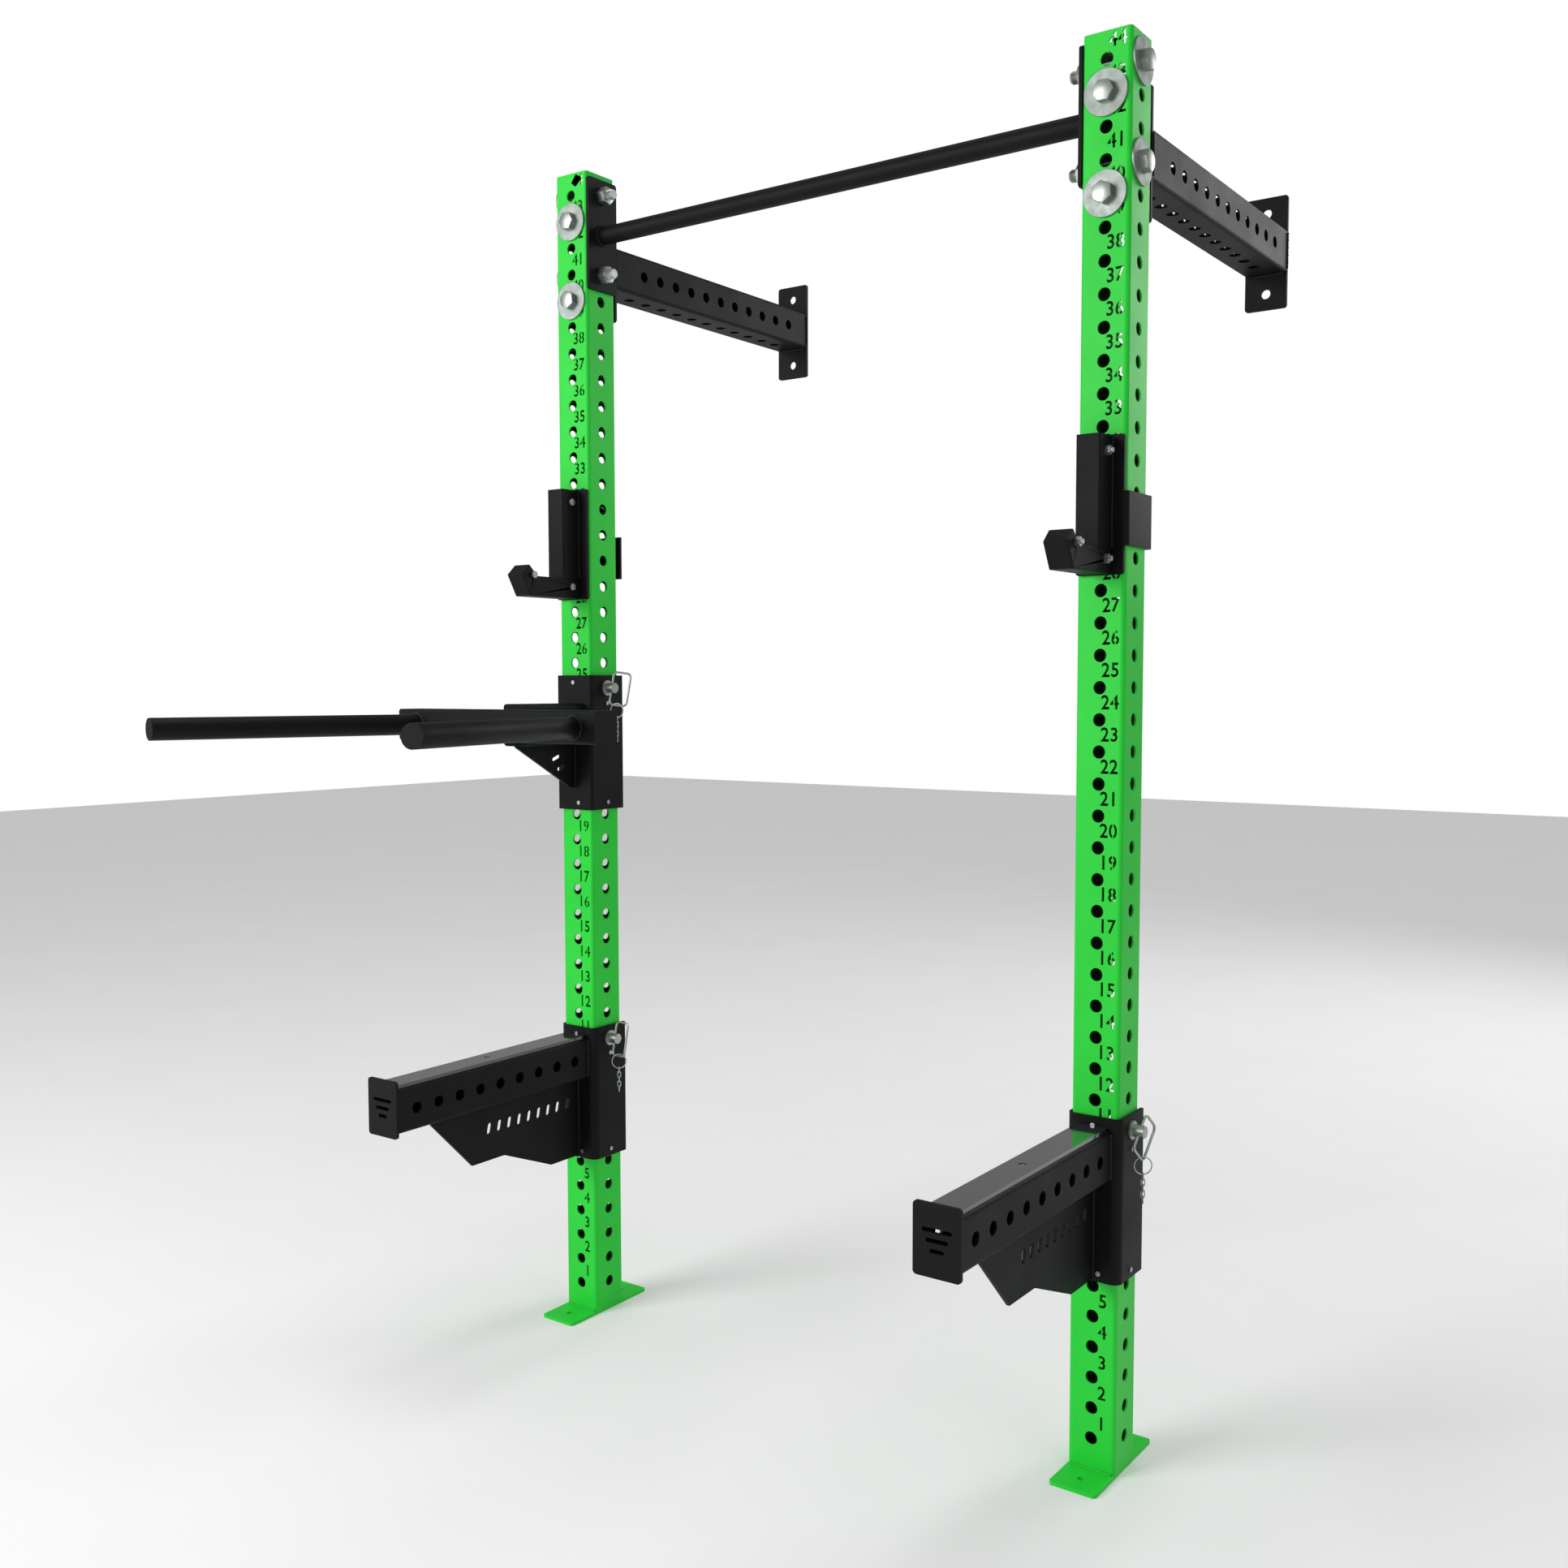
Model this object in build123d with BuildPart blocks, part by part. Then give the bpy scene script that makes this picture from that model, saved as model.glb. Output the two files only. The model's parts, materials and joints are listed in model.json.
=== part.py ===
"""Wall-mounted half rack: two perforated uprights, a pull-up bar, wall arms, J-cups,
spotter arms and a dip attachment, as separate pieces in one frame.

Origin: on the floor, midway between the uprights and on their centre plane.
+X runs to the user's right, +Y towards the wall, +Z up.  Millimetres.
"""
import math
import os

from build123d import *

os.makedirs("parts", exist_ok=True)

# ---------------------------------------------------------------- driving dimensions
# Uprights: square tube, perforated on all four faces
UPRIGHT_SPACING = 1110.0      # centre to centre
TUBE = 80.0
TUBE_WALL = 3.0
TUBE_RADIUS = 7.0
HOLE_D = 21.0
HOLE_FIT = 1.0                # bolts, pegs and pins are thinner than their hole by this
HOLE_PITCH = 50.0
HOLE_COUNT = 44
FIRST_HOLE_ABOVE_FOOT = 52.0
TOP_MARGIN = 42.0

# Foot plates
FOOT_T = 6.0
FOOT_LENGTH = 222.0
FOOT_BOLT_D = 12.0
FOOT_BOLT_OFFSET = 75.0

# Pull-up bar with its flange plates
BAR_D = 33.7
BAR_WALL = 3.2
FLANGE_T = 6.0
FLANGE_EDGE = 31.0
PLATE_CORNER = 6.0

# Wall arms
ARM_LENGTH = 655.0
ARM_FIRST_HOLE = 83.0
ARM_HOLE_COUNT = 11
ARM_PLATE_EDGE = 30.0
WALL_PLATE_T = 6.0
WALL_BOLT_D = 18.0
WALL_BOLT_SPACING = 150.0

# Large fasteners
BOLT_D = HOLE_D - HOLE_FIT
BOLT_AF = 30.0
BOLT_HEAD = 12.5
WASHER_D = 71.0
WASHER_T = 4.0
NUT_T = 16.0
THREAD_END = 14.0
THREAD_FIT = 0.05

# Sleeves that carry the spotter arms and the dip attachment
SLEEVE_H = 265.0
SLEEVE_ABOVE_PIN = 25.0
SLEEVE_WALL = 4.0
LINER_T = 1.7
SLEEVE_PLAY = 0.3
SPOTTER_CORNER = 15.0
DIP_CORNER = 7.0
SCREW_HEAD_D = 8.0
SCREW_HEAD_T = 2.2
SCREW_D = 4.0
SCREW_INSET = 14.0
SCREW_ASIDE = 12.0            # low front screw, beside the gusset

# Spotter arms
SPOTTER_HOLE = 11
SPOTTER_DROP = 35.0           # arm centre below the pin
SPOTTER_W = 60.0
SPOTTER_H = 80.0
SPOTTER_WALL = 4.0
SPOTTER_REACH = 531.0         # tube's free end from the upright's centre
SPOTTER_HOLE_COUNT = 9
SPOTTER_FIRST_HOLE = 84.0     # from the upright's centre
END_PLATE_W = 74.0
END_PLATE_H = 101.0
END_PLATE_T = 5.0
END_PLATE_LIFT = 5.0
END_SLOTS = (46.0, 34.0, 22.0)    # lengths of the three slots, from the top down
END_SLOT_H = 6.0
END_SLOT_PITCH = 14.0
STRIP_W = 50.0
STRIP_T = 6.0
STRIP_GAP = 4.0
GUSSET_T = 5.0
SLOT_COUNT = 9
SLOT_W = 11.0
SLOT_H = 22.0
SLOT_PITCH = 26.0

# Dip attachment
DIP_HOLE = 25
DIP_DROP = 70.0
DIP_BEAM_FRONT = 266.0        # front face of the beam from the upright's centre
DIP_BEAM = 60.0
DIP_BEAM_WALL = 3.0
DIP_BEAM_LENGTH = 515.0
DIP_ARM_W = 60.0
DIP_ARM_H = 80.0
HANDLE_D = 40.0
HANDLE_LENGTH = 500.0
HANDLE_SPACING = 412.0
HANDLE_SPLAY = 15.5
BEAM_SLOT_PITCH = 22.8
BEAM_SLOT_W = 5.0
BEAM_SLOT_H = 16.0

# J-cups
CUP_HOLE = 32
CUP_TOP = 36.0                # plate top above the peg
CUP_BOTTOM = 177.0            # plate bottom below the peg
CUP_PLATE_T = 7.0
CUP_GAP = 0.4                 # play against the upright
CUP_WRAP_T = 5.0
CUP_WRAP_TOP = 50.0
CUP_WRAP_BOTTOM = 133.0
CUP_REAR_GAP = 9.0            # upright's back to the rear flange
CUP_BEND = 9.0
PEG_D = HOLE_D - HOLE_FIT
PEG_REACH = 78.0              # peg length from the plate's back
HOOK_W = 40.0                 # the block above it is as wide
HOOK_THICK = 38.0
BLOCK_DEPTH = 45.0
BLOCK_CORNER = 3.0
HOOK_REACH = 155.0            # lip's front corner from the plate's front
LIP_RISE = 22.0
CUP_BOLT_D = 8.0
CUP_BOLT_HEAD_D = 13.0
CUP_BOLT_HEAD_T = 4.5
CUP_NUT_AF = 13.0
CUP_NUT_T = 7.0
CUP_THREAD_END = 4.0

# Locking pins
PIN_D = HOLE_D - HOLE_FIT
PIN_COLLAR_D = 30.0
PIN_COLLAR_T = 3.0
PIN_HEAD = 20.0               # head length outside the collar
PIN_TIP = 6.0                 # tip beyond the far wall
BAIL_D = 4.2
BAIL_H = 66.0
BAIL_W = 34.0
BAIL_CORNER = 8.0
BAIL_PLAY = 0.06
RING_R = 14.0
RING_WIRE = 2.0
RING_PLAY = 0.8               # ring to bail wire, at the top of the ring
LINK_WIRE = 2.0
LINK_LENGTH = 12.0            # between the two arc centres' outer ends, wire centre
LINK_WIDTH = 6.0
LINK_COUNT = 5
KEEPER_R = 17.0
KEEPER_WIRE = 3.0
KEEPER_Y = 10.0

# ---------------------------------------------------------------- derived positions
HALF = UPRIGHT_SPACING / 2
TUBE_HALF = TUBE / 2
HOLE1_Z = FOOT_T + FIRST_HOLE_ABOVE_FOOT
UPRIGHT_TOP = HOLE1_Z + (HOLE_COUNT - 1) * HOLE_PITCH + TOP_MARGIN
SLEEVE_IN = TUBE_HALF + SLEEVE_PLAY + LINER_T
SLEEVE_OUT = SLEEVE_IN + SLEEVE_WALL
SIDES = (("left", -1), ("right", 1))


def hole_z(number):
    """Height of the numbered hole, counted from the floor."""
    return HOLE1_Z + (number - 1) * HOLE_PITCH


def save(piece, name):
    """Label a finished piece and write its STEP file."""
    piece.part.label = name
    export_step(piece.part, f"parts/{name}.step")


def on_x(x, y, z):
    """Plane whose normal is +X, with local x along +Y and local y along +Z."""
    return Plane(origin=(x, y, z), x_dir=(0, 1, 0), z_dir=(1, 0, 0))


def on_y(x, y, z):
    """Plane whose normal is +Y, with local x along -X and local y along +Z."""
    return Plane(origin=(x, y, z), x_dir=(-1, 0, 0), z_dir=(0, 1, 0))


# ---------------------------------------------------------------- uprights and feet
for side, s in SIDES:
    with BuildPart() as upright:
        with BuildSketch(Plane.XY.offset(FOOT_T)):
            with Locations((s * HALF, 0)):
                RectangleRounded(TUBE, TUBE, TUBE_RADIUS)
                RectangleRounded(
                    TUBE - 2 * TUBE_WALL,
                    TUBE - 2 * TUBE_WALL,
                    TUBE_RADIUS - TUBE_WALL,
                    mode=Mode.SUBTRACT,
                )
        extrude(amount=UPRIGHT_TOP - FOOT_T)
        column = [(0, i * HOLE_PITCH) for i in range(HOLE_COUNT)]
        with BuildSketch(on_x(s * HALF, 0, HOLE1_Z)):
            with Locations(*column):
                Circle(HOLE_D / 2)
        extrude(amount=TUBE, both=True, mode=Mode.SUBTRACT)
        with BuildSketch(on_y(s * HALF, 0, HOLE1_Z)):
            with Locations(*column):
                Circle(HOLE_D / 2)
        extrude(amount=TUBE, both=True, mode=Mode.SUBTRACT)
    save(upright, f"upright_{side}")

    with BuildPart() as foot_plate:
        with BuildSketch():
            with Locations((s * HALF, 0)):
                RectangleRounded(TUBE, FOOT_LENGTH, PLATE_CORNER)
            with Locations((s * HALF, -FOOT_BOLT_OFFSET), (s * HALF, FOOT_BOLT_OFFSET)):
                Circle(FOOT_BOLT_D / 2, mode=Mode.SUBTRACT)
        extrude(amount=FOOT_T)
    save(foot_plate, f"foot_plate_{side}")

# ---------------------------------------------------------------- pull-up bar
BAR_HOLES = (HOLE_COUNT, HOLE_COUNT - 3)
BAR_Z = (hole_z(BAR_HOLES[0]) + hole_z(BAR_HOLES[1])) / 2
BAR_BOLT_HALF = (hole_z(BAR_HOLES[0]) - hole_z(BAR_HOLES[1])) / 2
INNER = HALF - TUBE_HALF
BAR_END = INNER - FLANGE_T

with BuildPart() as pullup_bar:
    with BuildSketch(on_x(-BAR_END, 0, BAR_Z)):
        Circle(BAR_D / 2)
        Circle(BAR_D / 2 - BAR_WALL, mode=Mode.SUBTRACT)
    extrude(amount=2 * BAR_END)
save(pullup_bar, "pullup_bar")

for side, s in SIDES:
    with BuildPart() as flange:
        with BuildSketch(on_x(s * BAR_END, 0, BAR_Z)):
            RectangleRounded(TUBE, 2 * (BAR_BOLT_HALF + FLANGE_EDGE), PLATE_CORNER)
            with Locations((0, -BAR_BOLT_HALF), (0, BAR_BOLT_HALF)):
                Circle(HOLE_D / 2, mode=Mode.SUBTRACT)
        extrude(amount=s * FLANGE_T)
    save(flange, f"bar_flange_{side}")

# ---------------------------------------------------------------- wall arms
ARM_HOLES = (HOLE_COUNT - 1, HOLE_COUNT - 4)
ARM_Z = (hole_z(ARM_HOLES[0]) + hole_z(ARM_HOLES[1])) / 2
ARM_BOLT_HALF = (hole_z(ARM_HOLES[0]) - hole_z(ARM_HOLES[1])) / 2
ARM_START = TUBE_HALF + FLANGE_T
ARM_END = ARM_START + ARM_LENGTH
WALL_FACE = ARM_END + WALL_PLATE_T
PLATE_H = 2 * (ARM_BOLT_HALF + ARM_PLATE_EDGE)

for side, s in SIDES:
    with BuildPart() as wall_arm:
        with BuildSketch(on_y(s * HALF, ARM_START, ARM_Z)):
            RectangleRounded(TUBE, TUBE, TUBE_RADIUS)
            RectangleRounded(
                TUBE - 2 * TUBE_WALL,
                TUBE - 2 * TUBE_WALL,
                TUBE_RADIUS - TUBE_WALL,
                mode=Mode.SUBTRACT,
            )
        extrude(amount=ARM_LENGTH)
        row = [(i * HOLE_PITCH, 0) for i in range(ARM_HOLE_COUNT)]
        with BuildSketch(on_x(s * HALF, ARM_START + ARM_FIRST_HOLE, ARM_Z)):
            with Locations(*row):
                Circle(HOLE_D / 2)
        extrude(amount=TUBE, both=True, mode=Mode.SUBTRACT)
        with BuildSketch(Plane.XY.offset(ARM_Z)):
            spots = [(s * HALF, ARM_START + ARM_FIRST_HOLE + d) for d, _ in row]
            with Locations(*spots):
                Circle(HOLE_D / 2)
        extrude(amount=TUBE, both=True, mode=Mode.SUBTRACT)
    save(wall_arm, f"wall_arm_{side}")

    with BuildPart() as arm_plate:
        with BuildSketch(on_y(s * HALF, TUBE_HALF, ARM_Z)):
            RectangleRounded(TUBE, PLATE_H, PLATE_CORNER)
            with Locations((0, -ARM_BOLT_HALF), (0, ARM_BOLT_HALF)):
                Circle(HOLE_D / 2, mode=Mode.SUBTRACT)
        extrude(amount=FLANGE_T)
    save(arm_plate, f"arm_plate_{side}")

    with BuildPart() as wall_plate:
        with BuildSketch(on_y(s * HALF, ARM_END, ARM_Z)):
            RectangleRounded(TUBE, PLATE_H, PLATE_CORNER)
            with Locations((0, -WALL_BOLT_SPACING / 2), (0, WALL_BOLT_SPACING / 2)):
                Circle(WALL_BOLT_D / 2, mode=Mode.SUBTRACT)
        extrude(amount=WALL_PLATE_T)
    save(wall_plate, f"wall_plate_{side}")

# ---------------------------------------------------------------- large fasteners
# Each joint clamps the tube between a wide washer outside and a plate inside.
CLAMP = TUBE + FLANGE_T
SHANK = WASHER_T + CLAMP + NUT_T + THREAD_END

for side, s in SIDES:
    # Face planes at each bolt: local +Z points out of the head.
    joints = []
    for number in BAR_HOLES:
        origin = (s * (HALF + TUBE_HALF), 0, hole_z(number))
        joints.append(Plane(origin=origin, x_dir=(0, 0, 1), z_dir=(s, 0, 0)))
    for number in ARM_HOLES:
        origin = (s * HALF, -TUBE_HALF, hole_z(number))
        joints.append(Plane(origin=origin, x_dir=(0, 0, 1), z_dir=(0, -1, 0)))

    with BuildPart() as bolts:
        for face in joints:
            with BuildSketch(face.offset(WASHER_T)):
                RegularPolygon(BOLT_AF / 2, 6, major_radius=False)
            extrude(amount=BOLT_HEAD)
            with BuildSketch(face.offset(WASHER_T)):
                Circle(BOLT_D / 2)
            extrude(amount=-SHANK)
    save(bolts, f"upper_bolts_{side}")

    with BuildPart() as washers:
        for face in joints:
            with BuildSketch(face):
                Circle(WASHER_D / 2)
                Circle(HOLE_D / 2, mode=Mode.SUBTRACT)
            extrude(amount=WASHER_T)
    save(washers, f"upper_washers_{side}")

    with BuildPart() as nuts:
        for face in joints:
            with BuildSketch(face.offset(-CLAMP)):
                RegularPolygon(BOLT_AF / 2, 6, major_radius=False)
                Circle(BOLT_D / 2 + THREAD_FIT, mode=Mode.SUBTRACT)
            extrude(amount=-NUT_T)
    save(nuts, f"upper_nuts_{side}")


# ---------------------------------------------------------------- sleeves
def channel(x, z_low, z_high, inner, outer, radius):
    """Three-sided channel open towards the wall, as a solid between two heights."""
    with BuildPart() as body:
        with BuildSketch(Plane.XY.offset(z_low)) as section:
            with Locations((x, 0)):
                Rectangle(2 * outer, 2 * outer)
            fillet(section.vertices().group_by(Axis.Y)[0], radius)
            with BuildSketch(Plane.XY.offset(z_low), mode=Mode.SUBTRACT) as bore:
                with Locations((x, outer / 2)):
                    Rectangle(2 * inner, 2 * inner + outer)
                fillet(bore.vertices().group_by(Axis.Y)[0], max(radius - outer + inner, 1.0))
        extrude(amount=z_high - z_low)
    return body.part


def sleeve_screw_planes(x, z_low, z_high):
    """Screw seats: two on the front, and two on each side, kept clear of the pin."""
    low = z_low + SCREW_INSET
    high = z_high - SCREW_INSET
    beside = z_high - SLEEVE_ABOVE_PIN - PIN_COLLAR_D
    seats = []
    for aside, z in ((SCREW_ASIDE, low), (0, high)):
        origin = (x + aside, -SLEEVE_OUT, z)
        seats.append(Plane(origin=origin, x_dir=(0, 0, 1), z_dir=(0, -1, 0)))
    for d in (-1, 1):
        for z in (low, beside):
            origin = (x + d * SLEEVE_OUT, 0, z)
            seats.append(Plane(origin=origin, x_dir=(0, 0, 1), z_dir=(d, 0, 0)))
    return seats


def build_sleeve(prefix, suffix, x, pin_z, corner):
    """Sleeve and its low-friction liner strips round one upright; returns screw seats."""
    z_high = pin_z + SLEEVE_ABOVE_PIN
    z_low = z_high - SLEEVE_H
    seats = sleeve_screw_planes(x, z_low, z_high)

    with BuildPart() as sleeve:
        add(channel(x, z_low, z_high, SLEEVE_IN, SLEEVE_OUT, corner))
        with BuildSketch(on_x(x, 0, pin_z)):
            Circle(HOLE_D / 2)
        extrude(amount=2 * SLEEVE_OUT, both=True, mode=Mode.SUBTRACT)
        for seat in seats:
            with BuildSketch(seat.offset(1)):
                Circle(SCREW_D / 2)
            extrude(amount=-SLEEVE_WALL - 1 - LINER_T / 2, mode=Mode.SUBTRACT)
    save(sleeve, f"{prefix}_sleeve{suffix}")

    # Three flat strips, one on each wall, clear of the bent corners
    flat = SLEEVE_IN - max(corner - SLEEVE_WALL, 1.0) - 0.5
    with BuildPart() as liner:
        with BuildSketch(Plane.XY.offset(z_low)):
            with Locations((x, -SLEEVE_IN + LINER_T / 2)):
                Rectangle(2 * flat, LINER_T)
            for d in (-1, 1):
                with Locations((x + d * (SLEEVE_IN - LINER_T / 2), (SLEEVE_OUT - flat) / 2)):
                    Rectangle(LINER_T, SLEEVE_OUT + flat)
        extrude(amount=z_high - z_low)
        with BuildSketch(on_x(x, 0, pin_z)):
            Circle(HOLE_D / 2)
        extrude(amount=2 * SLEEVE_OUT, both=True, mode=Mode.SUBTRACT)
        for seat in seats:
            with BuildSketch(seat.offset(-SLEEVE_WALL)):
                Circle(SCREW_D / 2)
            extrude(amount=-LINER_T / 2, mode=Mode.SUBTRACT)
    save(liner, f"{prefix}_liner{suffix}")
    return seats


def screw_solid(seat, depth):
    """Button-head screw seated on a plane, its shank going in."""
    with BuildPart() as body:
        with BuildSketch(seat):
            Circle(SCREW_HEAD_D / 2)
        extrude(amount=SCREW_HEAD_T)
        with BuildSketch(seat):
            Circle(SCREW_D / 2)
        extrude(amount=-depth)
    return body.part


# ---------------------------------------------------------------- spotter arms
SPOTTER_PIN_Z = hole_z(SPOTTER_HOLE)
SPOTTER_Z = SPOTTER_PIN_Z - SPOTTER_DROP
SPOTTER_TOP = SPOTTER_Z + SPOTTER_H / 2
SPOTTER_BOTTOM = SPOTTER_Z - SPOTTER_H / 2
SLEEVE_BASE = SPOTTER_PIN_Z + SLEEVE_ABOVE_PIN - SLEEVE_H
STRIP_START = SLEEVE_OUT + STRIP_GAP
STRIP_END = SPOTTER_REACH - STRIP_GAP
STRIP_SCREWS = (STRIP_END - 10.0, (STRIP_START + STRIP_END) / 2)

# Side outline of the gusset: distance from the upright's centre, drop below the arm
GUSSET_OUTLINE = (
    (SLEEVE_OUT, 0.0),
    (SPOTTER_REACH - 92.0, 0.0),
    (SPOTTER_REACH - 200.0, 110.0),
    (SPOTTER_REACH - 281.0, 110.0),
    (SPOTTER_REACH - 406.0, SPOTTER_BOTTOM - SLEEVE_BASE - 4.0),
    (SLEEVE_OUT, SPOTTER_BOTTOM - SLEEVE_BASE - 4.0),
)

for side, s in SIDES:
    x = s * HALF
    seats = build_sleeve("spotter", f"_{side}", x, SPOTTER_PIN_Z, SPOTTER_CORNER)

    with BuildPart() as arm:
        with BuildSketch(on_y(x, -SLEEVE_OUT, SPOTTER_Z)):
            RectangleRounded(SPOTTER_W, SPOTTER_H, SPOTTER_WALL + 3)
            RectangleRounded(
                SPOTTER_W - 2 * SPOTTER_WALL,
                SPOTTER_H - 2 * SPOTTER_WALL,
                3,
                mode=Mode.SUBTRACT,
            )
        extrude(amount=SLEEVE_OUT - SPOTTER_REACH)
        row = [(-SPOTTER_FIRST_HOLE - i * HOLE_PITCH, 0) for i in range(SPOTTER_HOLE_COUNT)]
        with BuildSketch(on_x(x, 0, SPOTTER_Z)):
            with Locations(*row):
                Circle(HOLE_D / 2)
        extrude(amount=SPOTTER_W, both=True, mode=Mode.SUBTRACT)
        for d in STRIP_SCREWS:
            with BuildSketch(Plane(origin=(x, -d, SPOTTER_TOP + 1))):
                Circle(SCREW_D / 2)
            extrude(amount=-SPOTTER_WALL - 2, mode=Mode.SUBTRACT)
    save(arm, f"spotter_arm_{side}")

    with BuildPart() as end_plate:
        with BuildSketch(on_y(x, -SPOTTER_REACH, SPOTTER_Z + END_PLATE_LIFT)):
            RectangleRounded(END_PLATE_W, END_PLATE_H, PLATE_CORNER)
            for i, length in enumerate(END_SLOTS):
                with Locations((0, (1 - i) * END_SLOT_PITCH)):
                    SlotOverall(length, END_SLOT_H, mode=Mode.SUBTRACT)
        extrude(amount=-END_PLATE_T)
    save(end_plate, f"spotter_end_plate_{side}")

    with BuildPart() as gusset:
        with BuildSketch(on_x(x - GUSSET_T / 2, 0, SPOTTER_BOTTOM)):
            with BuildLine():
                Polyline(*[(-d, -drop) for d, drop in GUSSET_OUTLINE], close=True)
            make_face()
            slots = [(-SLEEVE_OUT - 33 - i * SLOT_PITCH, -50) for i in range(SLOT_COUNT)]
            with Locations(*slots):
                SlotOverall(SLOT_H, SLOT_W, rotation=78, mode=Mode.SUBTRACT)
        extrude(amount=GUSSET_T)
    save(gusset, f"spotter_gusset_{side}")

    with BuildPart() as strip:
        with BuildSketch(Plane.XY.offset(SPOTTER_TOP)):
            with Locations((x, -(STRIP_START + STRIP_END) / 2)):
                RectangleRounded(STRIP_W, STRIP_END - STRIP_START, 3)
        extrude(amount=STRIP_T)
        for d in STRIP_SCREWS:
            with BuildSketch(Plane(origin=(x, -d, SPOTTER_TOP + STRIP_T))):
                Circle(SCREW_HEAD_D / 2 + 2)
            extrude(amount=-SCREW_HEAD_T - 1, mode=Mode.SUBTRACT)
            with BuildSketch(Plane(origin=(x, -d, SPOTTER_TOP))):
                Circle(SCREW_D / 2)
            extrude(amount=STRIP_T, mode=Mode.SUBTRACT)
    save(strip, f"spotter_strip_{side}")

    with BuildPart() as screws:
        for seat in seats:
            add(screw_solid(seat, SLEEVE_WALL + LINER_T / 2))
        for d in STRIP_SCREWS:
            seat = Plane(origin=(x, -d, SPOTTER_TOP + STRIP_T - SCREW_HEAD_T - 1))
            add(screw_solid(seat, STRIP_T - SCREW_HEAD_T - 1 + SPOTTER_WALL))
    save(screws, f"spotter_screws_{side}")

# Wire keeper loop on the inner side of the right sleeve's top
KEEPER_X = HALF - SLEEVE_OUT
KEEPER_Z = SPOTTER_PIN_Z + SLEEVE_ABOVE_PIN - KEEPER_R - KEEPER_WIRE
with BuildPart() as keeper_loop:
    with BuildLine(Plane(origin=(KEEPER_X, KEEPER_Y, KEEPER_Z), x_dir=(-1, 0, 0), z_dir=(0, 1, 0))):
        keeper_arc = CenterArc((0, 0), KEEPER_R, -90, 180)
    with BuildSketch(Plane(origin=keeper_arc @ 0, z_dir=keeper_arc % 0)):
        Circle(KEEPER_WIRE / 2)
    sweep(path=keeper_arc)
save(keeper_loop, "keeper_loop_right")

# ---------------------------------------------------------------- dip attachment
DIP_X = -HALF
DIP_PIN_Z = hole_z(DIP_HOLE)
DIP_Z = DIP_PIN_Z - DIP_DROP
BEAM_BACK = DIP_BEAM_FRONT - DIP_BEAM
seats = build_sleeve("dip", "", DIP_X, DIP_PIN_Z, DIP_CORNER)

with BuildPart() as dip_screws:
    for seat in seats:
        add(screw_solid(seat, SLEEVE_WALL + LINER_T / 2))
save(dip_screws, "dip_screws")

with BuildPart() as dip_arm:
    with BuildSketch(on_y(DIP_X, -SLEEVE_OUT, DIP_Z)):
        RectangleRounded(DIP_ARM_W, DIP_ARM_H, SPOTTER_WALL + 3)
        RectangleRounded(
            DIP_ARM_W - 2 * SPOTTER_WALL,
            DIP_ARM_H - 2 * SPOTTER_WALL,
            3,
            mode=Mode.SUBTRACT,
        )
    extrude(amount=SLEEVE_OUT - BEAM_BACK)
    # Cap that closes the arm where it stands taller than the beam
    with BuildSketch(on_y(DIP_X, -BEAM_BACK, DIP_Z)):
        RectangleRounded(DIP_ARM_W - SPOTTER_WALL, DIP_ARM_H - SPOTTER_WALL, SPOTTER_WALL)
    extrude(amount=SPOTTER_WALL)
save(dip_arm, "dip_arm")

with BuildPart() as dip_beam:
    with BuildSketch(on_x(DIP_X, -DIP_BEAM_FRONT + DIP_BEAM / 2, DIP_Z)):
        RectangleRounded(DIP_BEAM, DIP_BEAM, 5)
    extrude(amount=DIP_BEAM_LENGTH / 2, both=True)
    with BuildSketch(on_x(DIP_X, -DIP_BEAM_FRONT + DIP_BEAM / 2, DIP_Z)):
        RectangleRounded(DIP_BEAM - 2 * DIP_BEAM_WALL, DIP_BEAM - 2 * DIP_BEAM_WALL, 2)
    hollow = DIP_BEAM_LENGTH / 2 - DIP_BEAM_WALL
    extrude(amount=hollow, both=True, mode=Mode.SUBTRACT)
    with BuildSketch(on_y(DIP_X, -DIP_BEAM_FRONT - 1, DIP_Z)):
        marks = [((i - (SLOT_COUNT - 1) / 2) * BEAM_SLOT_PITCH, 0) for i in range(SLOT_COUNT)]
        with Locations(*marks):
            SlotOverall(BEAM_SLOT_H, BEAM_SLOT_W, rotation=90)
    extrude(amount=DIP_BEAM_WALL + 2, mode=Mode.SUBTRACT)
save(dip_beam, "dip_beam")

for side, s in SIDES:
    # Each handle splays outwards; its foot is cut square to the beam's front face.
    splay = math.radians(HANDLE_SPLAY)
    base = (DIP_X + s * HANDLE_SPACING / 2, -DIP_BEAM_FRONT, DIP_Z)
    along = (s * math.sin(splay), -math.cos(splay), 0)
    overrun = HANDLE_D
    back = (base[0] - overrun * along[0], base[1] - overrun * along[1], base[2])
    with BuildPart() as handle:
        with BuildSketch(Plane(origin=back, x_dir=(0, 0, 1), z_dir=along)):
            Circle(HANDLE_D / 2)
        extrude(amount=HANDLE_LENGTH + overrun)
        with BuildSketch(Plane.XY.offset(DIP_Z - HANDLE_D)):
            with Locations((DIP_X, -DIP_BEAM_FRONT + HANDLE_D * 2)):
                Rectangle(2 * DIP_BEAM_LENGTH, HANDLE_D * 4)
        extrude(amount=2 * HANDLE_D, mode=Mode.SUBTRACT)
    save(handle, f"dip_handle_{side}")

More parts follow.
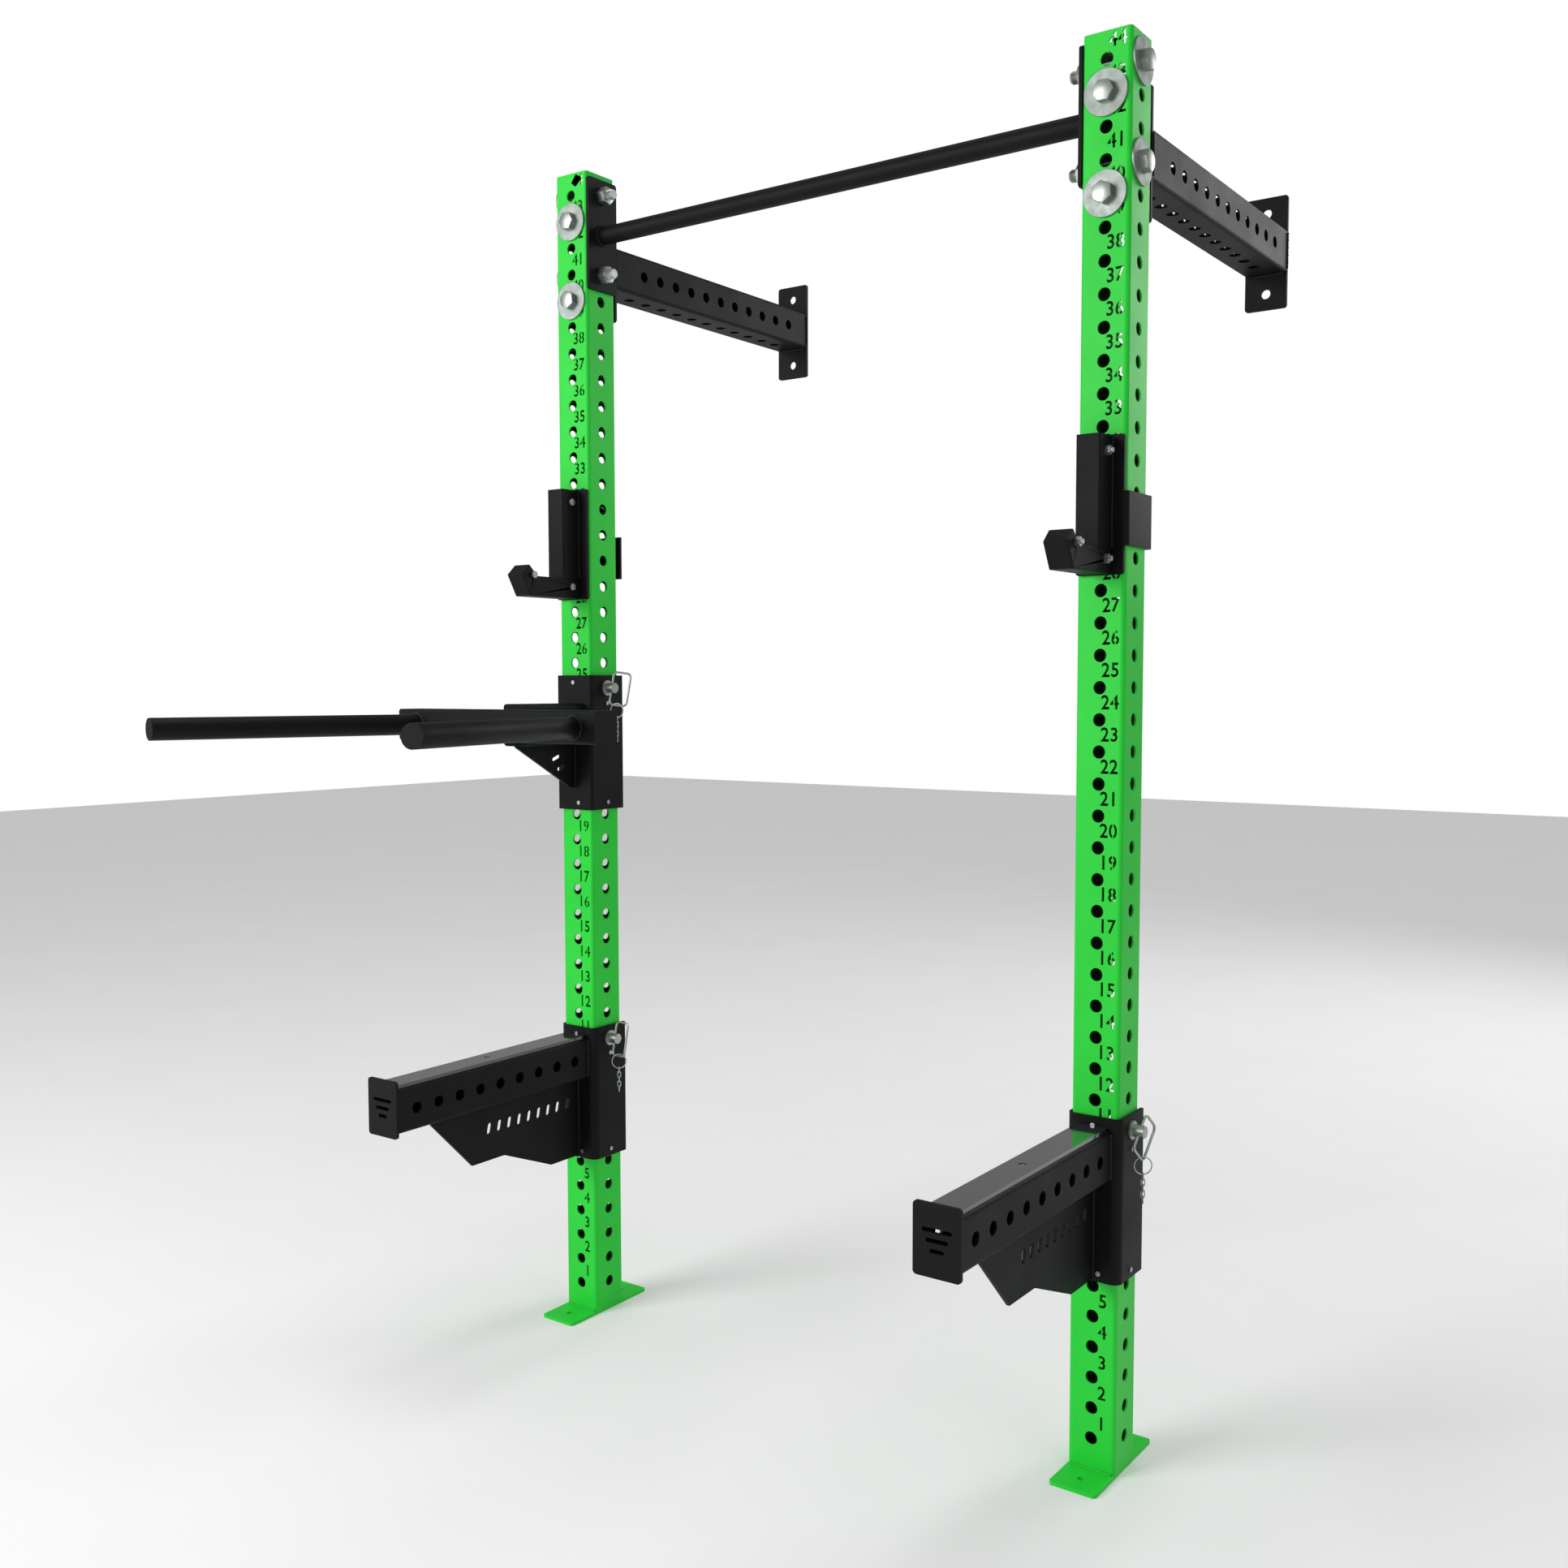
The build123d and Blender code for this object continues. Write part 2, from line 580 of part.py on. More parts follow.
with BuildPart() as dip_gusset:
    with BuildSketch(on_x(DIP_X - GUSSET_T / 2, 0, DIP_Z - DIP_ARM_H / 2)):
        with BuildLine():
            Polyline(
                (-SLEEVE_OUT, 0),
                (-BEAM_BACK, 0),
                (-BEAM_BACK, -2),
                (-SLEEVE_OUT - 12, -86),
                (-SLEEVE_OUT, -86),
                close=True,
            )
        make_face()
        with Locations((-SLEEVE_OUT - 52, -26)):
            SlotOverall(24, 8, rotation=20, mode=Mode.SUBTRACT)
        with Locations((-SLEEVE_OUT - 40, -46)):
            SlotOverall(20, 8, rotation=20, mode=Mode.SUBTRACT)
    extrude(amount=GUSSET_T)
save(dip_gusset, "dip_gusset")

# ---------------------------------------------------------------- J-cups
CUP_Z = hole_z(CUP_HOLE)
CUP_LOW = CUP_Z - CUP_BOTTOM
CUP_BACK = TUBE_HALF + CUP_GAP
CUP_FRONT = CUP_BACK + CUP_PLATE_T
WRAP_IN = TUBE_HALF + CUP_GAP
WRAP_REAR = TUBE_HALF + CUP_REAR_GAP
SADDLE_Z = CUP_LOW + HOOK_THICK + 1.0
BLOCK_FRONT = CUP_FRONT + BLOCK_DEPTH
CUP_BOLTS = (
    (CUP_FRONT + 22.0, CUP_Z + 9.0),
    (CUP_FRONT + 22.0, CUP_LOW + 23.0),
    (CUP_FRONT + HOOK_REACH - 30.0, SADDLE_Z + 2.0),
)


def cup_hook_outline():
    """Hook's side outline as (distance in front of the upright's centre, height)."""
    tip = CUP_FRONT + HOOK_REACH
    return (
        (CUP_FRONT, CUP_LOW + 1.0),
        (tip - 22.0, CUP_LOW + 1.0),
        (tip, SADDLE_Z + 2.0),
        (tip - 20.0, SADDLE_Z + LIP_RISE - 1.0),
        (tip - 20.0 - LIP_RISE, SADDLE_Z),
        (CUP_FRONT, SADDLE_Z),
    )


for side, s in SIDES:
    x = s * HALF

    with BuildPart() as cup_plate:
        with BuildSketch(on_y(x, -CUP_BACK, CUP_LOW)):
            with Locations((0, (CUP_TOP + CUP_BOTTOM) / 2)):
                RectangleRounded(TUBE - 1, CUP_TOP + CUP_BOTTOM, PLATE_CORNER)
        extrude(amount=-CUP_PLATE_T)
        # Wrap: side and rear flange bent from one strip
        with BuildSketch(Plane.XY.offset(CUP_Z - CUP_WRAP_BOTTOM)):
            with BuildLine():
                FilletPolyline(
                    (x + s * 20, -CUP_FRONT),
                    (x + s * (WRAP_IN + CUP_WRAP_T), -CUP_FRONT),
                    (x + s * (WRAP_IN + CUP_WRAP_T), WRAP_REAR + CUP_WRAP_T),
                    (x - s * TUBE_HALF, WRAP_REAR + CUP_WRAP_T),
                    radius=CUP_BEND,
                )
                Line(
                    (x - s * TUBE_HALF, WRAP_REAR + CUP_WRAP_T),
                    (x - s * TUBE_HALF, WRAP_REAR),
                )
                FilletPolyline(
                    (x - s * TUBE_HALF, WRAP_REAR),
                    (x + s * WRAP_IN, WRAP_REAR),
                    (x + s * WRAP_IN, -CUP_BACK),
                    (x + s * 20, -CUP_BACK),
                    radius=CUP_BEND - CUP_WRAP_T,
                )
                Line((x + s * 20, -CUP_BACK), (x + s * 20, -CUP_FRONT))
            make_face()
        extrude(amount=CUP_WRAP_BOTTOM - CUP_WRAP_TOP)
        with BuildSketch(on_y(x, -CUP_FRONT, CUP_Z)):
            Circle(PEG_D / 2)
        extrude(amount=CUP_PLATE_T + PEG_REACH)
    save(cup_plate, f"jcup_plate_{side}")

    with BuildPart() as cup_block:
        with BuildSketch(Plane.XY.offset(SADDLE_Z)):
            with Locations((x, -CUP_FRONT - BLOCK_DEPTH / 2)):
                Rectangle(HOOK_W, BLOCK_DEPTH)
        extrude(amount=CUP_Z + CUP_TOP - 3.0 - SADDLE_Z)
        tall = cup_block.edges().filter_by(Axis.Z).group_by(Axis.Y)[0]
        fillet(tall, BLOCK_CORNER)
        bolt_y, bolt_z = CUP_BOLTS[0]
        with BuildSketch(on_x(x, -bolt_y, bolt_z)):
            Circle(CUP_BOLT_D / 2 + THREAD_FIT)
        extrude(amount=HOOK_W, both=True, mode=Mode.SUBTRACT)
    save(cup_block, f"jcup_block_{side}")

    with BuildPart() as cup_hook:
        with BuildSketch(on_x(x - HOOK_W / 2, 0, 0)):
            with BuildLine():
                Polyline(*[(-d, z) for d, z in cup_hook_outline()], close=True)
            make_face()
        extrude(amount=HOOK_W)
        for bolt_y, bolt_z in CUP_BOLTS[1:]:
            with BuildSketch(on_x(x, -bolt_y, bolt_z)):
                Circle(CUP_BOLT_D / 2 + THREAD_FIT)
            extrude(amount=HOOK_W, both=True, mode=Mode.SUBTRACT)
    save(cup_hook, f"jcup_hook_{side}")

    # Bolts run across each cup, heads on the inner side and nuts on the outer side.
    with BuildPart() as cup_bolts:
        for bolt_y, bolt_z in CUP_BOLTS:
            inner = Plane(
                origin=(x - s * HOOK_W / 2, -bolt_y, bolt_z), x_dir=(0, 0, 1), z_dir=(-s, 0, 0)
            )
            with BuildSketch(inner):
                Circle(CUP_BOLT_HEAD_D / 2)
            extrude(amount=CUP_BOLT_HEAD_T)
            with BuildSketch(inner):
                Circle(CUP_BOLT_D / 2)
            extrude(amount=-(HOOK_W + CUP_NUT_T + CUP_THREAD_END))
            outer = inner.offset(-HOOK_W)
            with BuildSketch(outer):
                RegularPolygon(CUP_NUT_AF / 2, 6, major_radius=False)
            extrude(amount=-CUP_NUT_T)
    save(cup_bolts, f"jcup_bolts_{side}")

# ---------------------------------------------------------------- locking pins
# name, upright centre, height, lean of the bail's leg, swing of the bail off the sleeve
# then where the ring hangs (across and down the bail), its facing and its lean
PINS = (
    ("dip", -HALF, DIP_PIN_Z, 14.0, 54.0, (16.9, 33.0), 102.0, 10.0),
    ("spotter_left", -HALF, SPOTTER_PIN_Z, 12.0, 96.0, (19.2, 33.0), 126.0, 0.0),
    ("spotter_right", HALF, SPOTTER_PIN_Z, 48.0, 12.0, (32.3, 29.9), 126.0, 0.0),
)
COLLAR_X = SLEEVE_OUT
HEAD_END = COLLAR_X + PIN_COLLAR_T + PIN_HEAD
LEG_X = COLLAR_X + PIN_COLLAR_T + PIN_HEAD / 2


def bail_axes(lean, swing):
    """Unit vectors along the bail's leg and across the bail."""
    a = math.radians(lean)
    b = math.radians(swing)
    leg = Vector(0, math.sin(a), math.cos(a))
    across = Vector(
        math.sin(b), math.cos(b) * math.cos(a), -math.cos(b) * math.sin(a)
    )
    return leg, across


def oval_link(centre, long_dir, flat_dir):
    """Chain link: an oval of wire round a centre, lying across flat_dir."""
    plane = Plane(origin=centre, x_dir=long_dir, z_dir=flat_dir)
    with BuildPart() as link:
        with BuildLine(plane) as path:
            half = LINK_LENGTH / 2 - LINK_WIDTH / 2
            r = LINK_WIDTH / 2
            Line((-half, -r), (half, -r))
            CenterArc((half, 0), r, -90, 180)
            Line((half, r), (-half, r))
            CenterArc((-half, 0), r, 90, 180)
        wire = path.wires()[0]
        with BuildSketch(Plane(origin=wire @ 0, z_dir=wire % 0)):
            Circle(LINK_WIRE / 2)
        sweep(path=wire)
    return link.part


for name, x, z, lean, swing, hung, facing, ring_lean in PINS:
    leg, across = bail_axes(lean, swing)
    hub = Vector(x + LEG_X, 0, z)

    with BuildPart() as pin:
        with BuildSketch(on_x(x - SLEEVE_OUT - PIN_TIP, 0, z)):
            Circle(PIN_D / 2)
        extrude(amount=SLEEVE_OUT + PIN_TIP + HEAD_END)
        chamfer(pin.faces().sort_by(Axis.X)[0].edges(), 3)
        chamfer(pin.faces().sort_by(Axis.X)[-1].edges(), 1)
        with BuildSketch(on_x(x + COLLAR_X, 0, z)):
            Circle(PIN_COLLAR_D / 2)
        extrude(amount=PIN_COLLAR_T)
        with BuildSketch(Plane(origin=hub, z_dir=leg)):
            Circle(BAIL_D / 2 + BAIL_PLAY)
        extrude(amount=PIN_D, both=True, mode=Mode.SUBTRACT)
    save(pin, f"{name}_pin")

    top = hub + leg * (BAIL_H / 2)
    low = hub - leg * (BAIL_H / 2)
    with BuildPart() as bail:
        with BuildLine() as bail_path:
            Line(hub, hub + leg * (BAIL_H / 2 - BAIL_CORNER))
            TangentArc(
                hub + leg * (BAIL_H / 2 - BAIL_CORNER),
                top + across * BAIL_CORNER,
                tangent=leg,
            )
            Line(top + across * BAIL_CORNER, top + across * (BAIL_W - BAIL_CORNER))
            TangentArc(
                top + across * (BAIL_W - BAIL_CORNER),
                top + across * BAIL_W - leg * BAIL_CORNER,
                tangent=across,
            )
            Line(top + across * BAIL_W - leg * BAIL_CORNER, low + across * BAIL_W + leg * BAIL_CORNER)
            TangentArc(
                low + across * BAIL_W + leg * BAIL_CORNER,
                low + across * (BAIL_W - BAIL_CORNER),
                tangent=leg * -1,
            )
            Line(low + across * (BAIL_W - BAIL_CORNER), low + across * BAIL_CORNER)
            TangentArc(
                low + across * BAIL_CORNER,
                low + leg * BAIL_CORNER,
                tangent=across * -1,
            )
            Line(low + leg * BAIL_CORNER, hub)
        with BuildSketch(Plane(origin=hub, z_dir=leg)):
            Circle(BAIL_D / 2)
        sweep(path=bail_path.wires()[0])
    save(bail, f"{name}_bail")

    # Ring hung on the bail's lower run, and a short chain hung from the ring
    hang = hub + across * hung[0] - leg * hung[1]
    f = math.radians(facing)
    r = math.radians(ring_lean)
    face = Vector(math.cos(f), math.sin(f), 0)
    flat = Vector(math.sin(f), -math.cos(f), 0)
    up_ring = Vector(0, 0, 1) * math.cos(r) + flat * math.sin(r)
    centre = hang - up_ring * (RING_R - RING_WIRE / 2 - BAIL_D / 2 - RING_PLAY)
    with BuildPart() as chain:
        with BuildLine(Plane(origin=centre, x_dir=(0, 0, 1), z_dir=face)) as ring_path:
            CenterArc((0, 0), RING_R, 0, 360)
        wire = ring_path.wires()[0]
        with BuildSketch(Plane(origin=wire @ 0, z_dir=wire % 0)):
            Circle(RING_WIRE / 2)
        sweep(path=wire)
    pieces = [chain.part]
    reach = LINK_LENGTH / 2 - LINK_WIRE / 2 - RING_WIRE / 2 - 0.35
    spot = centre - Vector(0, 0, RING_R + reach)
    for i in range(LINK_COUNT):
        lies = face if i % 2 else flat
        pieces.append(oval_link(spot, (0, 0, 1), lies))
        spot = spot - Vector(0, 0, LINK_LENGTH - LINK_WIRE - 0.7)
    with BuildPart() as hanging:
        for piece in pieces:
            add(piece)
    save(hanging, f"{name}_chain")
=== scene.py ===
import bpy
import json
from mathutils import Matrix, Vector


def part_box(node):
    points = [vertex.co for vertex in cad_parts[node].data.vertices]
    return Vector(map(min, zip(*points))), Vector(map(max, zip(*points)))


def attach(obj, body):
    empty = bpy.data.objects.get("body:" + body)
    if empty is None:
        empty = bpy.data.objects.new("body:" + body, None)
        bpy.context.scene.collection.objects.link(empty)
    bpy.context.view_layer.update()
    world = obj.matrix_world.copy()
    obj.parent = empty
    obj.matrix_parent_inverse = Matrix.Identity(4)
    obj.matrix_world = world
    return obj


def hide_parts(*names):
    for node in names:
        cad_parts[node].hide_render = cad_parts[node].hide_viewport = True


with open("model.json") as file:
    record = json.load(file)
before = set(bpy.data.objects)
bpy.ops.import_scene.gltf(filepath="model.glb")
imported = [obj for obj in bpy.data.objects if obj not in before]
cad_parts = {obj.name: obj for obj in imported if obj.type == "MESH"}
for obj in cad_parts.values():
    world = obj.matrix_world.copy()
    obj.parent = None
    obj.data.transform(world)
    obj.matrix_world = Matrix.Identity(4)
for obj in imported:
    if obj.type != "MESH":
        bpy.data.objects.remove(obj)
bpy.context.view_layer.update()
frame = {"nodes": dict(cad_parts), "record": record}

# %% [markdown]
# # A wall-mounted half rack
# The frame arrives with every steel piece already at its real size: two perforated
# uprights, the pull-up bar, arms to the wall, J-cups, spotter arms and a dip attachment.
# This lesson gives them their finish, cuts the hole numbers through the uprights, adds
# the welds and proper bolts, and then lights and frames the rack.
# Everything is in metres, on the floor at z = 0, with the wall on the +Y side.

# %% Tools and the box of the frame
import json
import math

import bmesh
import bpy
from mathutils import Matrix, Vector

scene = bpy.context.scene

# %% [markdown]
# ## Writing finishes as sums
# A finish is easier to read as arithmetic than as a web of nodes. `Value` wraps one
# socket, so `0.3 + grain * 0.1` adds the Math nodes by itself. `Finish` owns one
# material, and its `node` method makes any other node: the settings come first, because
# they decide which sockets the node has.

# %% A socket that can be added and multiplied
class Value:
    """One output socket; arithmetic on it adds Math nodes."""

    def __init__(self, finish, socket):
        self.finish = finish
        self.socket = socket

    def _math(self, operation, first, second):
        return self.finish.node("ShaderNodeMath", {"operation": operation}, {0: first, 1: second})

    def __add__(self, other):
        return self._math("ADD", self, other)

    __radd__ = __add__

    def __sub__(self, other):
        return self._math("SUBTRACT", self, other)

    def __rsub__(self, other):
        return self._math("SUBTRACT", other, self)

    def __mul__(self, other):
        return self._math("MULTIPLY", self, other)

    __rmul__ = __mul__

    def below(self, edge):
        return self._math("LESS_THAN", self, edge)

    def absolute(self):
        return self._math("ABSOLUTE", self, 0.0)

# %% A finish and its one way to make nodes
class Finish:
    """One material with a Principled surface."""

    def __init__(self, name):
        self.material = bpy.data.materials.new(name)
        self.material.use_nodes = True
        self.tree = self.material.node_tree
        self.tree.nodes.clear()
        self.output = self.tree.nodes.new("ShaderNodeOutputMaterial")
        self.surface = self.tree.nodes.new("ShaderNodeBsdfPrincipled")
        self.tree.links.new(self.surface.outputs[0], self.output.inputs[0])

    def feed(self, socket, value):
        if isinstance(value, Value):
            self.tree.links.new(value.socket, socket)
        else:
            socket.default_value = value

    def node(self, kind, settings=None, inputs=None, out=0):
        made = self.tree.nodes.new(kind)
        for key, value in (settings or {}).items():
            if key == "stops":
                for i, (place, shade) in enumerate(value):
                    ramp = made.color_ramp.elements
                    stop = ramp[i] if i < len(ramp) else ramp.new(place)
                    stop.position = place
                    stop.color = (shade, shade, shade, 1)
            else:
                setattr(made, key, value)
        for key, value in (inputs or {}).items():
            self.feed(made.inputs[key], value)
        return Value(self, made.outputs[out])

    def place(self):
        return self.node("ShaderNodeTexCoord", out=3)

    def axis(self, letter):
        return self.node("ShaderNodeSeparateXYZ", {}, {0: self.place()}, "XYZ".index(letter))

    def stretched(self, scale):
        return self.node("ShaderNodeMapping", {}, {0: self.place(), 3: scale})

    def noise(self, scale, detail=2.0, coords=None):
        where = coords or self.place()
        return self.node("ShaderNodeTexNoise", {}, {0: where, 2: scale, 3: detail})

    def ramp(self, value, *stops):
        return self.node("ShaderNodeValToRGB", {"stops": stops}, {0: value})

    def blend(self, factor, first, second):
        return self.node("ShaderNodeMix", {"data_type": "RGBA"}, {0: factor, 6: first, 7: second}, 2)

    def relief(self, height, strength, depth):
        return self.node("ShaderNodeBump", {}, {"Strength": strength, "Distance": depth, "Height": height})

    def set(self, **sockets):
        for key, value in sockets.items():
            self.feed(self.surface.inputs[key.replace("_", " ")], value)
        return self.material

# %% [markdown]
# ## Powder coat
# Powder is sprayed dry and melted into a skin, so it has a fine orange-peel relief,
# a soft gloss and slightly uneven colour. Fine noise gives the peel, broad noise the
# uneven gloss, and thin upright streaks stand for the rubbing of sliding attachments.
# Inside a tube the uprights are coloured near black: this is painted shade, standing for the dark inside
# of the tube.

# %% Powder coat, green and black
HALF = 0.555            # from the middle of the rack to an upright's centre
TUBE_HALF = 0.040
INSIDE_HALF = 0.0372    # just past the tube's inner face
# painted shade: a near-black colour laid on the inside of the tube
INSIDE_PAINTED_SHADE = (0.010, 0.014, 0.010, 1)
INSIDE_SHADE_SHARE = 0.93        # how much of the painted shade covers the inside


def powder_coat(name, light, dark, rough, gloss, peel_scale, peel, rub, speck, shade_inside=False):
    f = Finish(name)
    broad = f.ramp(f.noise(9.0, 4.0), (0.35, 0.0), (0.7, 1.0))
    fine = f.noise(peel_scale, 2.0)
    grit = f.ramp(f.noise(peel_scale * 2.7, 1.0), (0.45, 0.0), (0.75, 1.0))
    streak = f.ramp(f.noise(1.0, 3.0, f.stretched((420.0, 420.0, 9.0))), (0.66, 0.0), (0.78, 1.0))
    patch = f.ramp(f.noise(5.5, 3.0), (0.5, 0.0), (0.68, 1.0))
    worn = streak * patch * rub
    colour = f.blend(broad * 0.55, light, dark)
    colour = f.blend(grit * 0.35, colour, speck)
    colour = f.blend(worn, colour, speck)
    # painted shade: inside the tube the colour turns near black
    if shade_inside:
        across = f.axis("X").absolute() - HALF
        inside = across.absolute().below(INSIDE_HALF) * f.axis("Y").absolute().below(INSIDE_HALF)
        colour = f.blend(inside * INSIDE_SHADE_SHARE, colour, INSIDE_PAINTED_SHADE)
    return f.set(
        Base_Color=colour,
        Roughness=rough + broad * 0.07 + fine * 0.06 + worn * 0.12,
        Specular_IOR_Level=gloss,
        Normal=f.relief(fine + grit * 0.4, peel, 0.0004),
    )


GREEN = {
    "light": (0.018, 0.66, 0.040, 1), "dark": (0.012, 0.56, 0.032, 1),
    "rough": 0.36, "gloss": 0.22, "peel_scale": 420.0, "peel": 0.22,
    "rub": 0.30, "speck": (0.05, 0.68, 0.10, 1),
}
green_coat = powder_coat("green_powder_coat", **GREEN)
tube_coat = powder_coat("upright_coat_with_inside_shade", **GREEN, shade_inside=True)
black_coat = powder_coat(
    "black_powder_coat", light=(0.0050, 0.0053, 0.0055, 1), dark=(0.0028, 0.0030, 0.0032, 1),
    rough=0.44, gloss=0.12, peel_scale=650.0, peel=0.40,
    rub=0.3, speck=(0.012, 0.013, 0.014, 1),
)
print("coats", green_coat.name, tube_coat.name, black_coat.name)

# %% [markdown]
# ## Zinc, plastic and weld metal
# The bolts, pins and chains are zinc plated: a pale metal with cloudy gloss and fine
# tool marks. The strips on the spotter arms are a hard glossy plastic with a dusty
# grain whose pale bluish grey is partly painted reflection, and the sleeves' liners are a
# duller one. A weld lies under the same powder, so it keeps the coat's colour but shines
# a little more on its rounded ripples.

# %% Zinc plating
def zinc_plate(name, tint, rough):
    f = Finish(name)
    cloud = f.ramp(f.noise(60.0, 4.0), (0.3, 0.0), (0.72, 1.0))
    marks = f.noise(1.0, 2.0, f.stretched((900.0, 900.0, 120.0)))
    dull = tuple(c * 0.72 for c in tint[:3]) + (1,)
    return f.set(
        Base_Color=f.blend(cloud * 0.6, tint, dull),
        Metallic=1.0,
        Roughness=rough + cloud * 0.12 + marks * 0.08,
        Normal=f.relief(marks, 0.12, 0.0002),
    )


zinc = zinc_plate("zinc_plating", tint=(0.44, 0.48, 0.44, 1), rough=0.32)
washer_zinc = zinc_plate("washer_zinc", tint=(0.30, 0.34, 0.31, 1), rough=0.42)
print("metals", zinc.name, washer_zinc.name)

# %% Plastic strip and liner
COAT_ROUGHNESS = 0.03


def hard_plastic(name, base, dust_and_sheen, rough, coat):
    f = Finish(name)
    grain = f.ramp(f.noise(1500.0, 1.0), (0.5, 0.0), (0.8, 1.0))
    cloud = f.ramp(f.noise(14.0, 3.0), (0.35, 0.0), (0.7, 1.0))
    return f.set(
        # the grain blends toward a pale colour: real dust, and on the glossy strip partly painted
        # reflection
        Base_Color=f.blend(grain * 0.5 + cloud * 0.2, base, dust_and_sheen),
        Roughness=rough + grain * 0.1 + cloud * 0.05,
        Coat_Weight=coat,
        Coat_Roughness=COAT_ROUGHNESS,
        Normal=f.relief(grain, 0.08, 0.0002),
    )


# its bluish grey dust colour is partly a painted reflection on the glossy strip
strip_plastic = hard_plastic(
    "strip_plastic", base=(0.014, 0.014, 0.018, 1), dust_and_sheen=(0.045, 0.045, 0.058, 1),
    rough=0.10, coat=1.0,
)
liner_plastic = hard_plastic(
    "liner_plastic", base=(0.010, 0.010, 0.010, 1), dust_and_sheen=(0.02, 0.02, 0.02, 1),
    rough=0.5, coat=0.0,
)
print("plastics", strip_plastic.name, liner_plastic.name)

# %% Coat over the welds
green_weld = powder_coat(
    "green_weld", light=(0.016, 0.58, 0.038, 1), dark=(0.012, 0.46, 0.030, 1),
    rough=0.26, gloss=0.4, peel_scale=300.0, peel=0.3, rub=0.0, speck=(0.08, 0.68, 0.14, 1),
)
black_weld = powder_coat(
    "black_weld", light=(0.009, 0.009, 0.010, 1), dark=(0.005, 0.005, 0.006, 1),
    rough=0.32, gloss=0.3, peel_scale=300.0, peel=0.3, rub=0.0, speck=(0.022, 0.022, 0.024, 1),
)
print("welds", green_weld.name, black_weld.name)

# %% Give each frame piece its finish
by_slot = {
    "green_powder": green_coat,
    "black_powder": black_coat,
    "zinc_steel": zinc,
    "gloss_strip": strip_plastic,
    "liner_plastic": liner_plastic,
}
slot_of = {p["node"]: p["material_slot"] for p in frame["record"]["subparts"]}
for name, piece in frame["nodes"].items():
    finish = washer_zinc if "washers" in name else by_slot[slot_of[name]]
    piece.data.materials.clear()
    piece.data.materials.append(finish)
print(len(frame["nodes"]), "pieces finished")

# %% [markdown]
# ## Softer edges on plates, hooks and handles
# Sheared steel is never knife sharp once it is coated: the powder draws a small round
# over each edge, and that round is what catches the light. The frame's meshes are loose
# triangles, so a Weld modifier joins them first and a Bevel rounds only the sharp edges.

# %% Round the coated edges
SAME_POINT = 0.00001
SHARP_ANGLE = 40
EDGES = {
    "jcup_hook": 0.0020,
    "jcup_plate": 0.0008,
    "spotter_end_plate": 0.0008,
    "wall_plate": 0.0008,
    "arm_plate": 0.0008,
    "bar_flange": 0.0008,
    "foot_plate": 0.0009,
    "spotter_strip": 0.0008,
    "upper_washers": 0.0006,
    "dip_handle": 0.0012,
}


def round_edges(piece, width):
    join = piece.modifiers.new("join", "WELD")
    join.merge_threshold = SAME_POINT
    bevel = piece.modifiers.new("coated_edge", "BEVEL")
    bevel.limit_method = "ANGLE"
    bevel.angle_limit = math.radians(SHARP_ANGLE)
    bevel.width = width
    bevel.segments = 2
    bevel.harden_normals = False


rounded = 0
for name, piece in frame["nodes"].items():
    for start, width in EDGES.items():
        if name.startswith(start):
            round_edges(piece, width)
            rounded += 1
print(rounded, "pieces with rounded edges")

# %% [markdown]
# ## Numbered uprights
# A laser cuts the tube's holes and, beside each, its number, so the height of a cup can
# be read off. A digit with a closed loop would drop its middle out, so the cutter leaves
# a thin upright bridge through 0, 4, 6, 8 and 9. Here each digit is a text curve turned
# into a solid, split for its bridge, and all of them cut the front wall in one Boolean.
# Before the cut, the tube is divided between its holes. Otherwise each wall would end as
# one face with hundreds of corners, and such a face shades in dark strips.

# %% Sizes of the numbers
DIGIT_HEIGHT = 0.0225
DIGIT_NARROW = 0.94
DIGIT_DEPTH = 0.008
DIGIT_STEP = 0.0152
BRIDGE = 0.0014
STROKE_FATTEN = 0.02
NUMBER_ABOVE_HOLE = 0.0275
NUMBER_ASIDE = 0.0172
HOLE_PITCH = 0.050
SPLIT_ABOVE_HOLE = 0.0134
FIRST_HOLE = 0.058
HOLES = 44
BRIDGED = "04689"
FOUR_BRIDGE = -0.0012    # the loop of a 4 lies a little left of its middle


def hole_height(number):
    return FIRST_HOLE + (number - 1) * HOLE_PITCH


print("highest hole at", hole_height(HOLES))

# %% Cutting and gathering solids
def plane_cut(solid, point, outward, drop=True):
    """Cuts a bmesh by a plane, drops what lies outside it and returns the new edges."""
    geometry = solid.verts[:] + solid.edges[:] + solid.faces[:]
    cut = bmesh.ops.bisect_plane(
        solid, geom=geometry, plane_co=point, plane_no=outward, clear_outer=drop,
    )
    return [e for e in cut["geom_cut"] if isinstance(e, bmesh.types.BMEdge)]


def gather(target, solid, matrix):
    """Moves a solid to its place, adds it to a larger bmesh and frees it."""
    bmesh.ops.transform(solid, matrix=matrix, verts=solid.verts[:])
    part = bpy.data.meshes.new("part")
    solid.to_mesh(part)
    target.from_mesh(part)
    bpy.data.meshes.remove(part)
    solid.free()

# %% One digit as a solid, with its bridge
def split_for_bridge(mesh_edit, middle):
    """Opens a thin upright gap through a digit and closes the cut faces."""
    halves = []
    for side in (-1, 1):
        half = mesh_edit.copy()
        rim = plane_cut(half, (middle + side * BRIDGE / 2, 0, 0), (-side, 0, 0))
        bmesh.ops.edgenet_fill(half, edges=rim)
        halves.append(half)
    return halves


